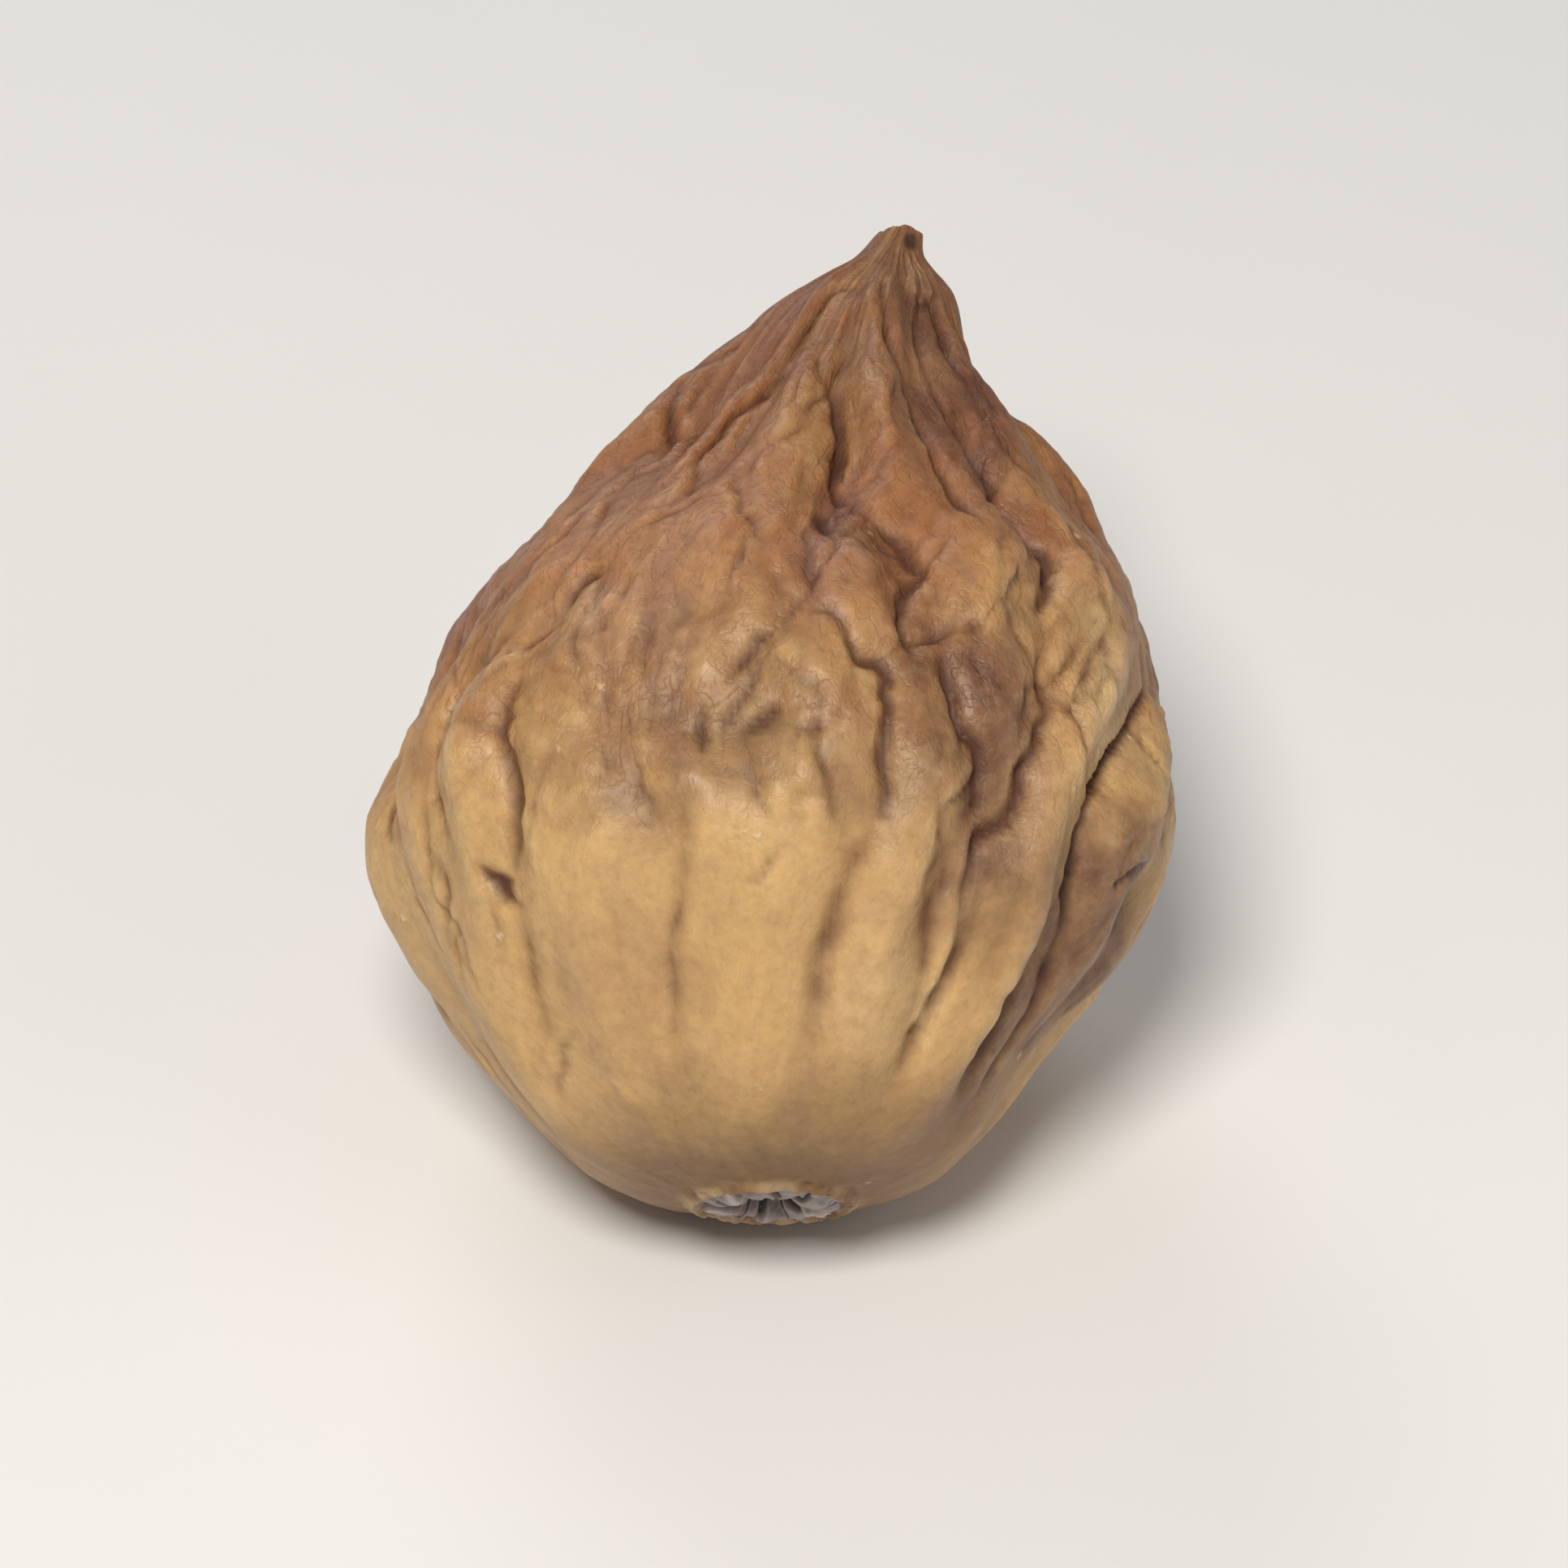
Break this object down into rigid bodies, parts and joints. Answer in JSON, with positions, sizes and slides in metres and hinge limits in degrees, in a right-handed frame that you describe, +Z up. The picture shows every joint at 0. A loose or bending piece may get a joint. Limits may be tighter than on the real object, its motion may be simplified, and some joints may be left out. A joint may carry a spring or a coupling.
{
  "type": "dried fig",
  "caption": "Whole small pale dried fig, pear-shaped, with a wrinkled neck, a cut stalk end, a ribbed belly and a scaly eye, lying on its side on a small flat spot.",
  "frame": {"origin": "on the small flat spot that the fruit rests on, below the middle of its belly", "axes": "+Z up, +Y towards the stalk end, whose axis leans back 52 degrees from upright, -Y towards the eye"},
  "size_m": [0.0246, 0.0271, 0.0233],
  "materials": {
    "dried_skin": "satin"
  },
  "bodies": {
    "root": {"fig": "dried_skin"}
  },
  "joints": []
}
